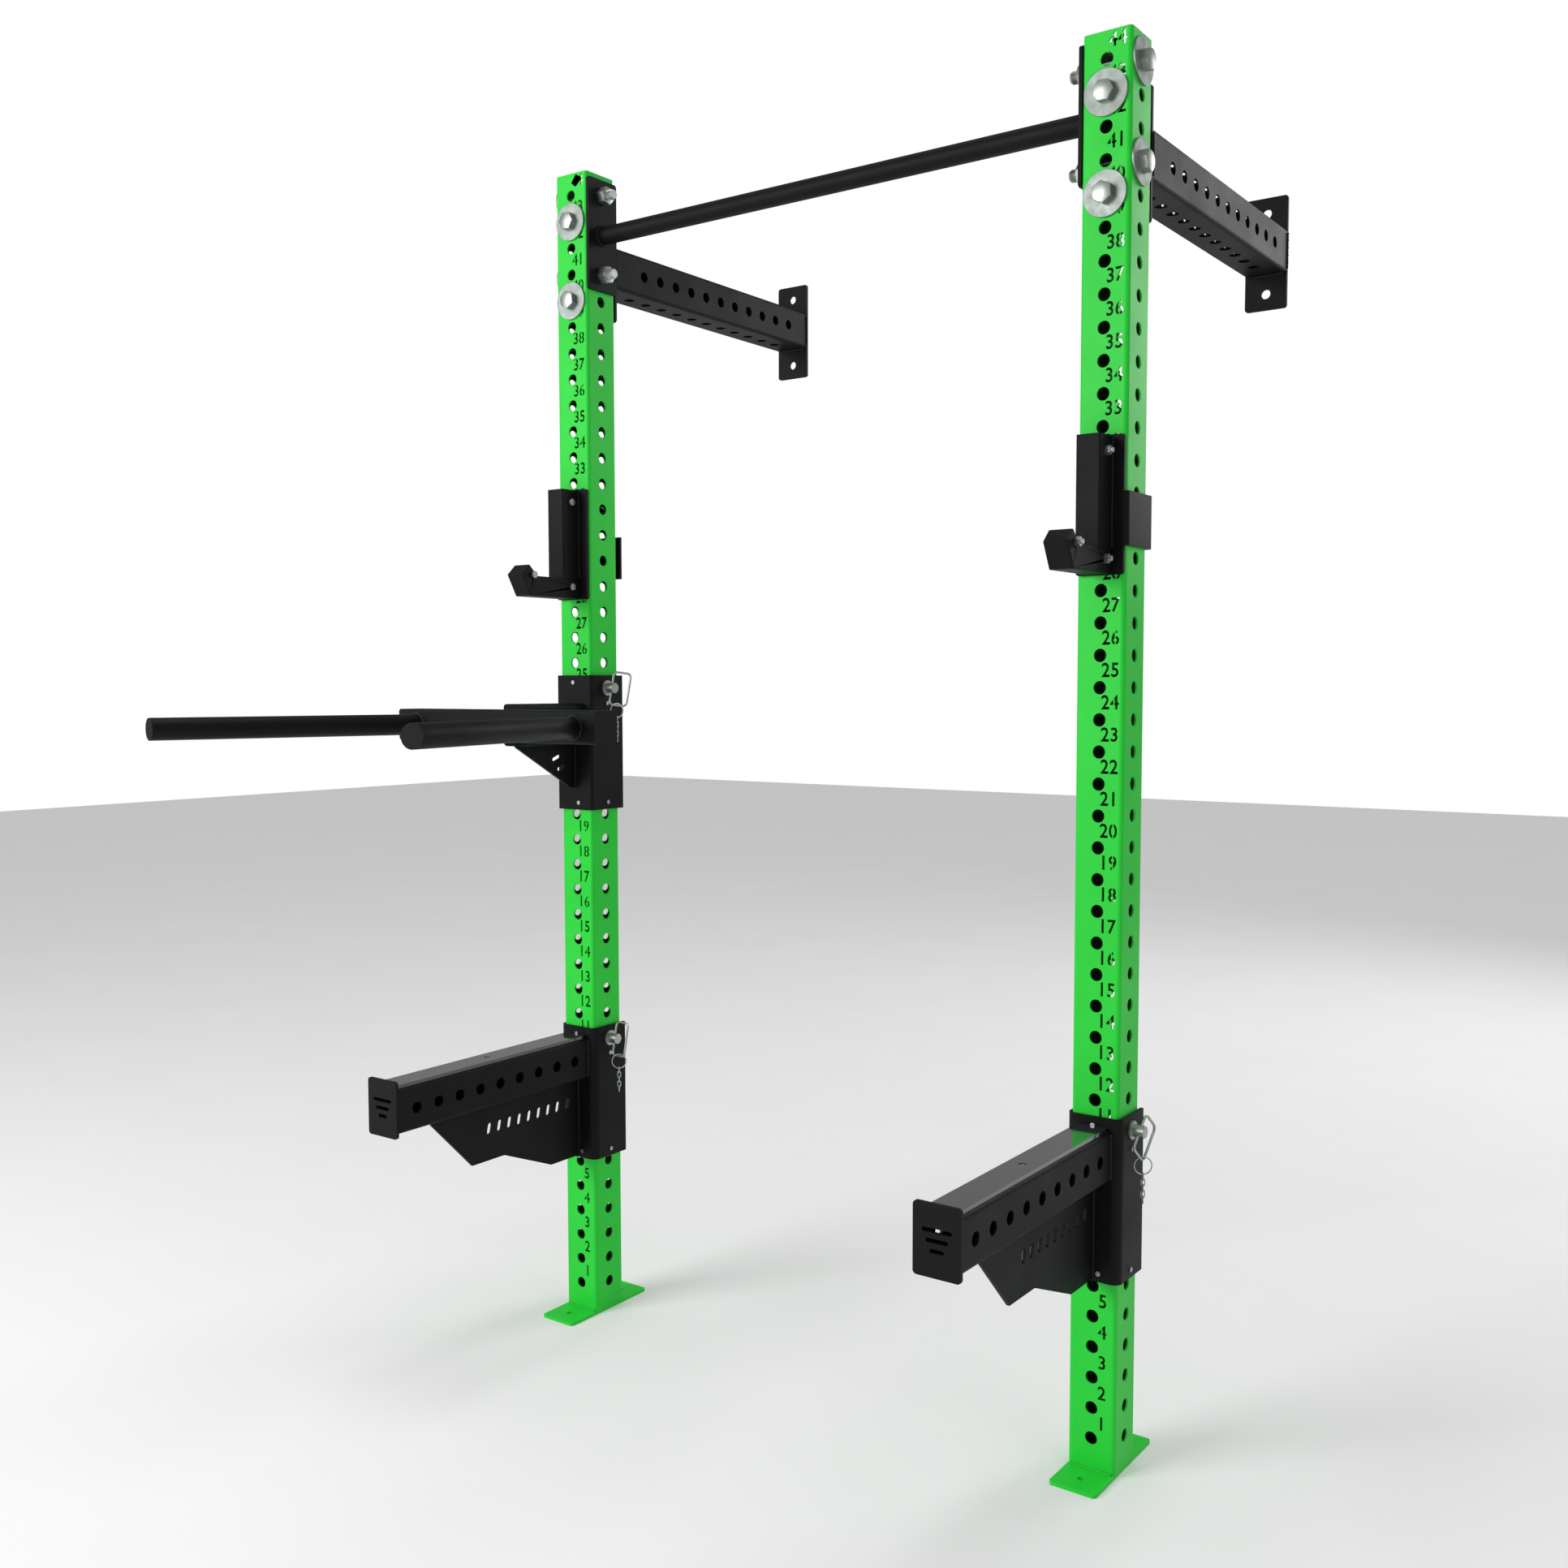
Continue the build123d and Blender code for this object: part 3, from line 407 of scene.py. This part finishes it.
def digit_solids(character):
    """Closed bmesh solids of one digit, centred: height on Y, depth on Z."""
    words = bpy.data.curves.new("digit", "FONT")
    words.body = character
    words.size = 1.0
    words.extrude = 0.5
    words.offset = STROKE_FATTEN
    words.resolution_u = 4
    holder = bpy.data.objects.new("digit", words)
    scene.collection.objects.link(holder)
    bpy.context.view_layer.update()
    mesh = bpy.data.meshes.new_from_object(holder)
    bpy.data.objects.remove(holder)
    solid = bmesh.new()
    solid.from_mesh(mesh)
    bmesh.ops.remove_doubles(solid, verts=solid.verts[:], dist=0.0001)
    low = Vector([min(v.co[i] for v in solid.verts) for i in range(3)])
    high = Vector([max(v.co[i] for v in solid.verts) for i in range(3)])
    tall = high.y - low.y
    bmesh.ops.translate(solid, verts=solid.verts[:], vec=-(low + high) / 2)
    bmesh.ops.scale(
        solid, verts=solid.verts[:],
        vec=(DIGIT_NARROW * DIGIT_HEIGHT / tall, DIGIT_HEIGHT / tall, DIGIT_DEPTH),
    )
    if character in BRIDGED:
        return split_for_bridge(solid, FOUR_BRIDGE if character == "4" else 0.0)
    return [solid]


digits = {c: digit_solids(c) for c in "0123456789"}
print({c: len(s) for c, s in digits.items()})

# %% All the numbers of one upright
def number_cutter(centre_x, front_y):
    """One mesh that holds every number, standing in the front wall."""
    cutter = bmesh.new()
    stand = Matrix.Rotation(math.radians(90), 4, "X")
    for number in range(1, HOLES + 1):
        label = str(number)
        z = hole_height(number) + NUMBER_ABOVE_HOLE
        for i, character in enumerate(label):
            x = centre_x + NUMBER_ASIDE + (i - (len(label) - 1) / 2) * DIGIT_STEP
            for solid in digits[character]:
                gather(cutter, solid.copy(), Matrix.Translation((x, front_y, z)) @ stand)
    bmesh.ops.triangulate(cutter, faces=cutter.faces[:])
    bmesh.ops.recalc_face_normals(cutter, faces=cutter.faces[:])
    return cutter


def new_piece(name, mesh_edit, finish, body, smooth=30.0):
    """Puts a finished bmesh into the scene as a piece that rides on a body."""
    mesh = bpy.data.meshes.new(name)
    mesh_edit.to_mesh(mesh)
    mesh_edit.free()
    mesh.materials.append(finish)
    mesh.shade_smooth()
    mesh.set_sharp_from_angle(angle=math.radians(smooth))
    piece = bpy.data.objects.new(name, mesh)
    scene.collection.objects.link(piece)
    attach(piece, body)
    return piece

# %% Short faces first
FLAT_ANGLE = 0.2


def shorten_faces(tube):
    """Splits a tall tube between its holes and joins the flat triangles of each length."""
    for number in range(1, HOLES + 1):
        z = hole_height(number) + SPLIT_ABOVE_HOLE
        for edge in plane_cut(tube, (0, 0, z), (0, 0, 1), drop=False):
            edge.seam = True
    bmesh.ops.dissolve_limit(
        tube, angle_limit=math.radians(FLAT_ANGLE), verts=tube.verts[:], edges=tube.edges[:],
        delimit={"SEAM"},
    )

# %% Cut the numbers through both uprights
def numbered_upright(side):
    node = frame["nodes"][f"upright_{side}"]
    low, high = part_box(f"upright_{side}")
    tube = bmesh.new()
    tube.from_mesh(node.data)
    bmesh.ops.remove_doubles(tube, verts=tube.verts[:], dist=0.000005)
    shorten_faces(tube)
    tube_mesh = bpy.data.meshes.new("tube")
    tube.to_mesh(tube_mesh)
    tube.free()
    whole = bpy.data.objects.new("tube", tube_mesh)
    scene.collection.objects.link(whole)
    cutter_mesh = bpy.data.meshes.new("numbers")
    numbers = number_cutter((low[0] + high[0]) / 2, low[1])
    numbers.to_mesh(cutter_mesh)
    numbers.free()
    cutter = bpy.data.objects.new("numbers", cutter_mesh)
    scene.collection.objects.link(cutter)
    cut = whole.modifiers.new("numbers", "BOOLEAN")
    cut.operation = "DIFFERENCE"
    cut.solver = "MANIFOLD"
    cut.object = cutter
    bpy.context.view_layer.update()
    done = bmesh.new()
    as_cut = whole.evaluated_get(bpy.context.evaluated_depsgraph_get())
    done.from_mesh(bpy.data.meshes.new_from_object(as_cut))
    bpy.data.objects.remove(whole)
    bpy.data.objects.remove(cutter)
    piece = new_piece(f"numbered_upright_{side}", done, tube_coat, "frame")
    even = piece.modifiers.new("even_shading", "WEIGHTED_NORMAL")
    even.mode = "FACE_AREA"
    even.weight = 100
    even.keep_sharp = True
    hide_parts(f"upright_{side}")
    print(piece.name, len(piece.data.polygons), "faces, was", len(node.data.polygons))


for side in ("left", "right"):
    numbered_upright(side)

# %% [markdown]
# ## Hex bolts and nuts
# A large bolt has a six-sided head whose corners are turned off to a cone, and a thread
# that shows past the nut. The head is a six-sided prism whose upper corners are cut back
# by tilted planes, and the thread is a zigzag line spun round the axis.

# %% Bolt helpers
CORNER_CUTS = 24        # tilted planes round a head, standing for a cone
CORNER_LEAN = 28        # degrees
TOP_CIRCLE = 0.485      # radius left flat on top, as a share of the width
THREAD_ROOT = 0.9       # of the rod's radius
THREAD_POINT = 0.84
THREAD_STEPS = 28


def hex_prism(across, height):
    """Six-sided prism on z from 0 to height, its upper corners turned off."""
    solid = bmesh.new()
    corner = across / math.sqrt(3)
    bmesh.ops.create_cone(
        solid, cap_ends=True, segments=6, radius1=corner, radius2=corner,
        depth=height, matrix=Matrix.Translation((0, 0, height / 2)),
    )
    lean = math.radians(CORNER_LEAN)
    for k in range(CORNER_CUTS):
        turn = math.radians(360 / CORNER_CUTS * k)
        x, y = math.cos(turn), math.sin(turn)
        outward = Vector((x * math.sin(lean), y * math.sin(lean), math.cos(lean)))
        touch = Vector((x * across * TOP_CIRCLE, y * across * TOP_CIRCLE, height))
        rim = plane_cut(solid, touch, outward)
        if rim:
            bmesh.ops.edgenet_fill(solid, edges=rim)
    return solid


def threaded_rod(radius, bottom, top, pitch, turns_from):
    """Rod on z from bottom to top; its thread runs from turns_from down to the bottom."""
    solid = bmesh.new()
    line = [(0.0, top), (radius, top), (radius, turns_from)]
    z = turns_from
    while z - pitch > bottom + pitch:
        line += [(radius * THREAD_ROOT, z - pitch / 2), (radius, z - pitch)]
        z -= pitch
    line += [(radius * THREAD_POINT, bottom), (0.0, bottom)]
    verts = [solid.verts.new((r, 0, h)) for r, h in line]
    edges = [solid.edges.new(pair) for pair in zip(verts, verts[1:])]
    bmesh.ops.spin(
        solid, geom=verts + edges, cent=(0, 0, 0), axis=(0, 0, 1), angle=math.tau,
        steps=THREAD_STEPS, use_merge=True,
    )
    bmesh.ops.remove_doubles(solid, verts=solid.verts[:], dist=0.000005)
    bmesh.ops.recalc_face_normals(solid, faces=solid.faces[:])
    return solid

# %% Large bolts and nuts of both uprights
SIDES = (("left", -1), ("right", 1))
SIDE_BOLT_HOLES = (44, 41)
FRONT_BOLT_HOLES = (43, 40)
PLATE = 0.006
WASHER = 0.004
HEX = 0.030             # across flats
HEAD = 0.0125
NUT = 0.016
ROD = 0.010             # radius
ROD_PAST_NUT = 0.014
THREAD_PITCH = 0.0025
THREAD_IN_PLATE = 0.006
FIRST_TWIST = 13        # degrees, so that no two heads stand alike
NEXT_TWIST = 37


def facing(origin, normal, twist):
    """Matrix that stands local z on a normal at an origin."""
    turn = Vector((0, 0, 1)).rotation_difference(Vector(normal)).to_matrix().to_4x4()
    return Matrix.Translation(origin) @ turn @ Matrix.Rotation(math.radians(twist), 4, "Z")


def upper_fasteners(side, s):
    bolts, nuts = bmesh.new(), bmesh.new()
    seats = [((s * (HALF + TUBE_HALF), 0, hole_height(n)), (s, 0, 0)) for n in SIDE_BOLT_HOLES]
    seats += [((s * HALF, -TUBE_HALF, hole_height(n)), (0, -1, 0)) for n in FRONT_BOLT_HOLES]
    grip = 2 * TUBE_HALF + PLATE
    bottom = -(grip + NUT + ROD_PAST_NUT)
    thread_from = -grip + THREAD_IN_PLATE
    lift = Matrix.Translation((0, 0, WASHER))
    flip = Matrix.Translation((0, 0, -grip)) @ Matrix.Rotation(math.pi, 4, "X")
    for i, (origin, normal) in enumerate(seats):
        seat = facing(origin, normal, FIRST_TWIST + NEXT_TWIST * i)
        gather(bolts, hex_prism(HEX, HEAD), seat @ lift)
        gather(bolts, threaded_rod(ROD, bottom, WASHER, THREAD_PITCH, thread_from), seat)
        gather(nuts, hex_prism(HEX, NUT), seat @ flip)
    piece = new_piece(f"hex_bolts_{side}", bolts, zinc, "frame")
    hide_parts(f"upper_bolts_{side}")
    piece = new_piece(f"hex_nuts_{side}", nuts, zinc, "frame")
    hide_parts(f"upper_nuts_{side}")
    print(side, len(seats), "bolts and nuts")


for side, s in SIDES:
    upper_fasteners(side, s)

# %% [markdown]
# ## Weld beads
# A hand-made weld is a row of overlapping ripples. Each ripple here is a small squashed
# ball, and a bead is a line or a ring of them sunk halfway into the corner it fills.
# Ripples are many, so each is an icosphere of only eighty faces.

# %% Rows and rings of ripples
RIPPLE_STEP = 0.0026
RIPPLE_FLAT = 0.62      # thickness of a ripple, as a share of its radius
BEAD = 0.0028           # radius of most beads
THICK_BEAD = 0.0034
SUNK = 0.0006           # from a box's end to the middle of the bead on it
PROUD = 0.0002          # from a tube's side to the middle of its bead
GUSSET_EDGE = 0.0004    # the same two distances on thin gussets
BEAD_SMOOTH = 60


def ripples(target, points, directions, radius):
    for i, (point, along) in enumerate(zip(points, directions)):
        wobble = 1.0 + 0.12 * math.sin(i * 2.3) + 0.06 * math.sin(i * 5.1)
        turn = Vector((0, 0, 1)).rotation_difference(along).to_matrix().to_4x4()
        size = Matrix.Diagonal((radius * wobble, radius * wobble, radius * RIPPLE_FLAT, 1))
        bmesh.ops.create_icosphere(
            target, subdivisions=2, radius=1.0, matrix=Matrix.Translation(point) @ turn @ size
        )


def bead_line(target, start, end, radius=BEAD):
    start, end = Vector(start), Vector(end)
    count = max(2, round((end - start).length / RIPPLE_STEP))
    along = (end - start).normalized()
    points = [start.lerp(end, i / count) for i in range(count + 1)]
    ripples(target, points, [along] * (count + 1), radius)


def side_beads(target, box, y, out, short, radius=BEAD):
    """An upright bead at one y on both sides of a box, a little short of its ends."""
    low, high = box
    for x in (low[0] - out, high[0] + out):
        bead_line(target, (x, y, low[2] + short), (x, y, high[2] - short), radius)


def bead_ring(target, centre, normal, ring, radius=BEAD):
    centre, normal = Vector(centre), Vector(normal).normalized()
    across = normal.orthogonal().normalized()
    other = normal.cross(across)
    count = round(math.tau * ring / RIPPLE_STEP)
    points, directions = [], []
    for i in range(count):
        a = math.tau * i / count
        points.append(centre + (across * math.cos(a) + other * math.sin(a)) * ring)
        directions.append(other * math.cos(a) - across * math.sin(a))
    ripples(target, points, directions, radius)

# %% Welds of the uprights' feet
FOOT_BEAD = 0.0032
FOOT_BEAD_HALF = 0.034
FOOT_BEAD_OUT = 0.0005
FOOT_BEAD_Z = 0.0065


def foot_welds(side, s):
    beads = bmesh.new()
    start, end = s * HALF - FOOT_BEAD_HALF, s * HALF + FOOT_BEAD_HALF
    for y in (-TUBE_HALF - FOOT_BEAD_OUT, TUBE_HALF + FOOT_BEAD_OUT):
        bead_line(beads, (start, y, FOOT_BEAD_Z), (end, y, FOOT_BEAD_Z), FOOT_BEAD)
    piece = new_piece(f"foot_weld_{side}", beads, green_weld, "frame", BEAD_SMOOTH)
    print(piece.name, len(piece.data.polygons), "faces")


for side, s in SIDES:
    foot_welds(side, s)

# %% Welds of the bar, wall arms and spotter arms
STITCHES = (0.03, 0.15, 0.27)
STITCH = 0.05


def frame_welds():
    beads = bmesh.new()
    low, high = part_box("pullup_bar")
    bar_r = (high[1] - low[1]) / 2
    bar_z = (high[2] + low[2]) / 2
    for x, n in ((low[0], 1), (high[0], -1)):
        bead_ring(beads, (x + n * SUNK, 0, bar_z), (1, 0, 0), bar_r + SUNK)
    for side in ("left", "right"):
        low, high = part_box(f"wall_arm_{side}")
        for y in (low[1] + SUNK, high[1] - SUNK):
            side_beads(beads, (low, high), y, PROUD, 0.008)
            for z in (low[2] - PROUD, high[2] + PROUD):
                bead_line(beads, (low[0] + 0.008, y, z), (high[0] - 0.008, y, z))
        low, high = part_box(f"spotter_arm_{side}")
        side_beads(beads, (low, high), high[1] - SUNK, PROUD, 0.006, THICK_BEAD)
        low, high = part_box(f"spotter_gusset_{side}")
        back, top = high[1] - GUSSET_EDGE, high[2] - GUSSET_EDGE
        for x in (low[0] - GUSSET_EDGE, high[0] + GUSSET_EDGE):
            bead_line(beads, (x, back, low[2] + 0.004), (x, back, high[2] - 0.004))
            for start in STITCHES:
                y = high[1] - start
                bead_line(beads, (x, y, top), (x, y - STITCH, top))
    return new_piece("frame_welds", beads, black_weld, "frame", BEAD_SMOOTH)


print(len(frame_welds().data.polygons), "weld faces")

# %% Welds of the dip attachment
HANDLE_ASIDE = 0.206    # from the beam's middle to a handle
HANDLE_RING = 0.0207


def dip_welds():
    beads = bmesh.new()
    low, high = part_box("dip_arm")
    for y in (high[1] - SUNK, low[1] + SUNK):
        side_beads(beads, (low, high), y, PROUD, 0.012)
    low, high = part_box("dip_gusset")
    side_beads(beads, (low, high), high[1] - GUSSET_EDGE, GUSSET_EDGE, 0.004)
    beam_low, beam_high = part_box("dip_beam")
    middle = (beam_low[0] + beam_high[0]) / 2
    beam_z = (beam_low[2] + beam_high[2]) / 2
    for s in (-1, 1):
        centre = (middle + s * HANDLE_ASIDE, beam_low[1] - SUNK, beam_z)
        bead_ring(beads, centre, (0, 1, 0), HANDLE_RING, THICK_BEAD)
    return new_piece("dip_welds", beads, black_weld, "frame", BEAD_SMOOTH)


print(len(dip_welds().data.polygons), "weld faces")

# %% Welds of the J-cups
CUP_BEAD = 0.0026
CUP_BEAD_OUT = 0.0003


def cup_welds(side):
    beads = bmesh.new()
    low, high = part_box(f"jcup_block_{side}")
    side_beads(beads, (low, high), high[1] - SUNK, CUP_BEAD_OUT, 0.004, CUP_BEAD)
    piece = new_piece(
        f"cup_weld_{side}", beads, black_weld, f"jcup_{side}", BEAD_SMOOTH,
    )
    print(piece.name, len(piece.data.polygons), "faces")


cup_welds("left")
cup_welds("right")

# %% [markdown]
# ## Light, floor and camera
# A large soft lamp high on the left lights the front faces and leaves the right-hand
# sides a step darker. A broad overhead sun lights the top faces and the floor, a weak
# lamp fills in from the right, and another behind keeps the back readable. The sky looks
# white but gives only a third of that light, so that black steel stays black. The camera
# stands at chest height in front of the right-hand side, as a visitor to the gym would.

# %% Floor
FLOOR_HALF = 14.0

floor_edit = bmesh.new()
bmesh.ops.create_grid(floor_edit, x_segments=1, y_segments=1, size=FLOOR_HALF)
floor_mesh = bpy.data.meshes.new("floor")
floor_edit.to_mesh(floor_mesh)
floor_edit.free()
floor = bpy.data.objects.new("floor", floor_mesh)
scene.collection.objects.link(floor)
floor_finish = Finish("pale_floor")
soft = floor_finish.noise(3.0, 3.0)
floor_mesh.materials.append(
    floor_finish.set(
        Base_Color=floor_finish.blend(soft, (0.84, 0.84, 0.84, 1), (0.88, 0.88, 0.88, 1)),
        Roughness=0.8,
    )
)
print("floor", 2 * FLOOR_HALF, "m square")

# %% Sky
SKY_LIGHT = 0.32
SKY_SEEN = 1.0

world = bpy.data.worlds.new("studio")
scene.world = world
world.use_nodes = True
sky = world.node_tree
backdrop = sky.nodes["Background"]
backdrop.inputs["Color"].default_value = (1, 1, 1, 1)
seen = sky.nodes.new("ShaderNodeLightPath")
level = sky.nodes.new("ShaderNodeMapRange")
level.inputs["To Min"].default_value = SKY_LIGHT
level.inputs["To Max"].default_value = SKY_SEEN
sky.links.new(seen.outputs["Is Camera Ray"], level.inputs["Value"])
sky.links.new(level.outputs["Result"], backdrop.inputs["Strength"])
print("sky", world.name)

# %% Lamps
def soft_lamp(name, place, target, size, power):
    lamp = bpy.data.lights.new(name, "AREA")
    lamp.shape = "RECTANGLE"
    lamp.size = size[0]
    lamp.size_y = size[1]
    lamp.energy = power
    holder = bpy.data.objects.new(name, lamp)
    holder.location = place
    look = Vector(target) - Vector(place)
    holder.rotation_euler = look.to_track_quat("-Z", "Y").to_euler()
    scene.collection.objects.link(holder)


overhead = bpy.data.lights.new("overhead", "SUN")
overhead.energy = 1.0
overhead.angle = math.radians(30)
overhead_holder = bpy.data.objects.new("overhead", overhead)
overhead_holder.location = (0, 0, 4)
scene.collection.objects.link(overhead_holder)
soft_lamp("key", (-2.2, -4.2, 2.6), (0, 0, 1.2), (2.6, 2.6), 160)
soft_lamp("side", (4.2, -1.2, 2.4), (0, 0, 1.1), (1.8, 2.6), 9)
soft_lamp("back", (1.5, 4.5, 3.0), (0, 0, 1.2), (2.5, 2.0), 60)
print(len(bpy.data.lights), "lamps")

# %% Camera
CAMERA_PLACE = (1.549, -2.263, 1.261)
LOOK_DOWN = 3.65        # degrees below level
ROLL = 0.08
TURN_LEFT = 35.7        # degrees away from facing the wall squarely

lens = bpy.data.cameras.new("camera")
lens.lens = 35.2
lens.sensor_width = 36.0
lens.clip_end = 60.0
camera = bpy.data.objects.new("camera", lens)
camera.location = CAMERA_PLACE
camera.rotation_euler = (
    math.radians(90 - LOOK_DOWN), math.radians(ROLL), math.radians(TURN_LEFT),
)
scene.collection.objects.link(camera)
scene.camera = camera
scene.view_settings.view_transform = "Standard"
print("camera at", tuple(camera.location))

# %% Bring the scene up to date
bpy.context.view_layer.update()
